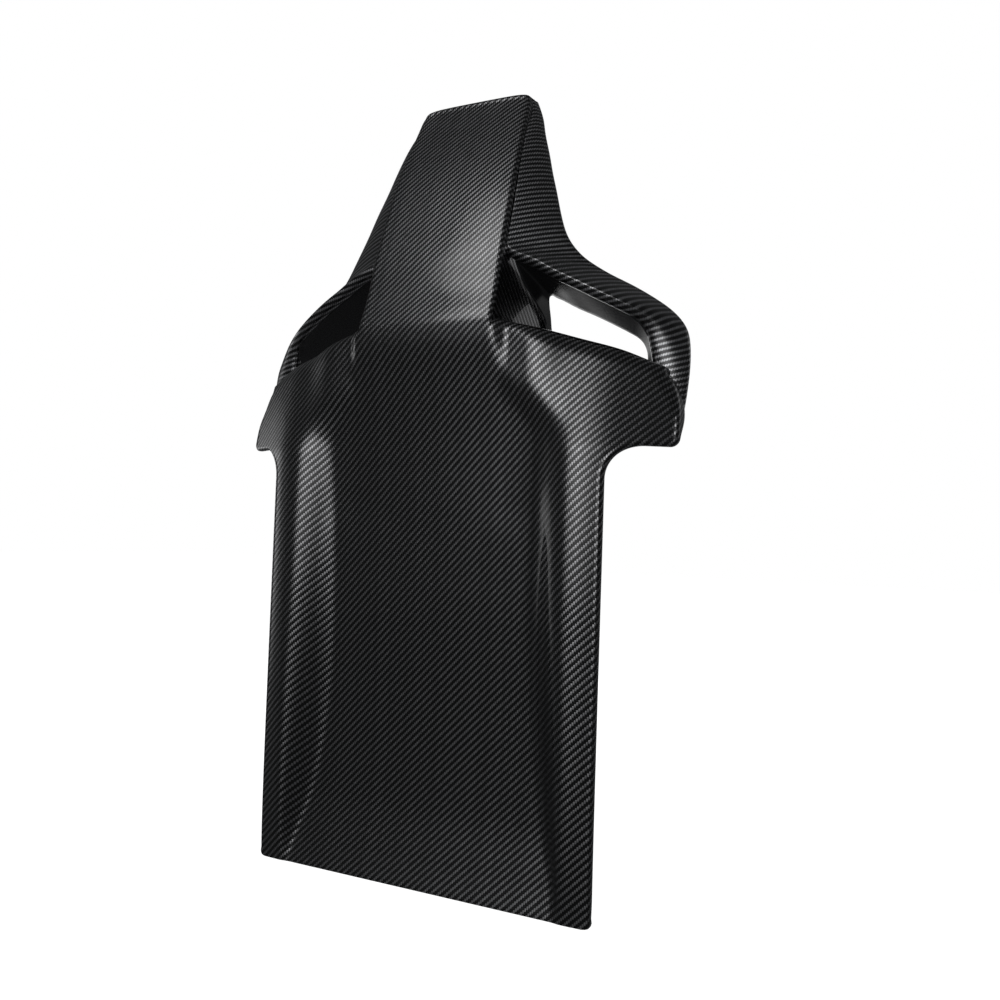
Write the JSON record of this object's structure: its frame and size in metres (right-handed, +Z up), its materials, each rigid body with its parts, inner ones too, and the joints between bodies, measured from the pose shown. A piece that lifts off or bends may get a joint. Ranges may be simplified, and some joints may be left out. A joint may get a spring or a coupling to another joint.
{
  "type": "racing seat back shell",
  "caption": "Carbon-fibre back shell of a racing seat: recessed panel, swept shoulders, head spine and wings around two harness slots.",
  "frame": {"origin": "centre of the four-stud mounting pattern, 40 mm in front of the panel's back plane and 250 mm above its bottom edge", "axes": "+Z up along the panel, +Y forwards towards the sitter, +X to the sitter's right; the seen back face looks along -Y"},
  "size_m": [0.5376, 0.1341, 0.8961],
  "materials": {
    "gloss_carbon": "gloss clear-coated 2x2 twill carbon laminate",
    "wing_carbon": "gloss clear-coated 2x2 twill carbon laminate, cloth laid along the wing",
    "raw_carbon": "uncoated carbon laminate, peel-ply texture",
    "slot_liner": "matt grey moulded liner",
    "beam_aluminium": "bent sheet, as rolled",
    "hook_steel": "black e-coated steel plate",
    "rivet_steel": "plated blind rivets",
    "adhesive": "cured structural adhesive, dull black",
    "stud_steel": "zinc-plated steel",
    "tower_plastic": "black glass-filled nylon",
    "clip_steel": "spring steel, phosphated",
    "felt": "dark grey needle felt"
  },
  "bodies": {
    "root": {"back_shell": "gloss_carbon", "wing_right": "wing_carbon", "wing_left": "wing_carbon", "slot_liner_right": "slot_liner", "slot_liner_left": "slot_liner", "rib_right": "raw_carbon", "rib_left": "raw_carbon", "cross_rib_lower": "raw_carbon", "cross_rib_upper": "raw_carbon", "head_web_lower": "raw_carbon", "head_web_upper": "raw_carbon", "shoulder_beam": "beam_aluminium", "hook_right": "hook_steel", "hook_left": "hook_steel", "beam_rivets": "rivet_steel", "bond_pads": "adhesive", "stud_plates": "stud_steel", "studs": "stud_steel", "clip_tower_1": "tower_plastic", "clip_tower_2": "tower_plastic", "clip_tower_3": "tower_plastic", "clip_tower_4": "tower_plastic", "clip_tower_5": "tower_plastic", "clip_tower_6": "tower_plastic", "tower_clips": "clip_steel", "felt_pads": "felt"}
  },
  "joints": []
}
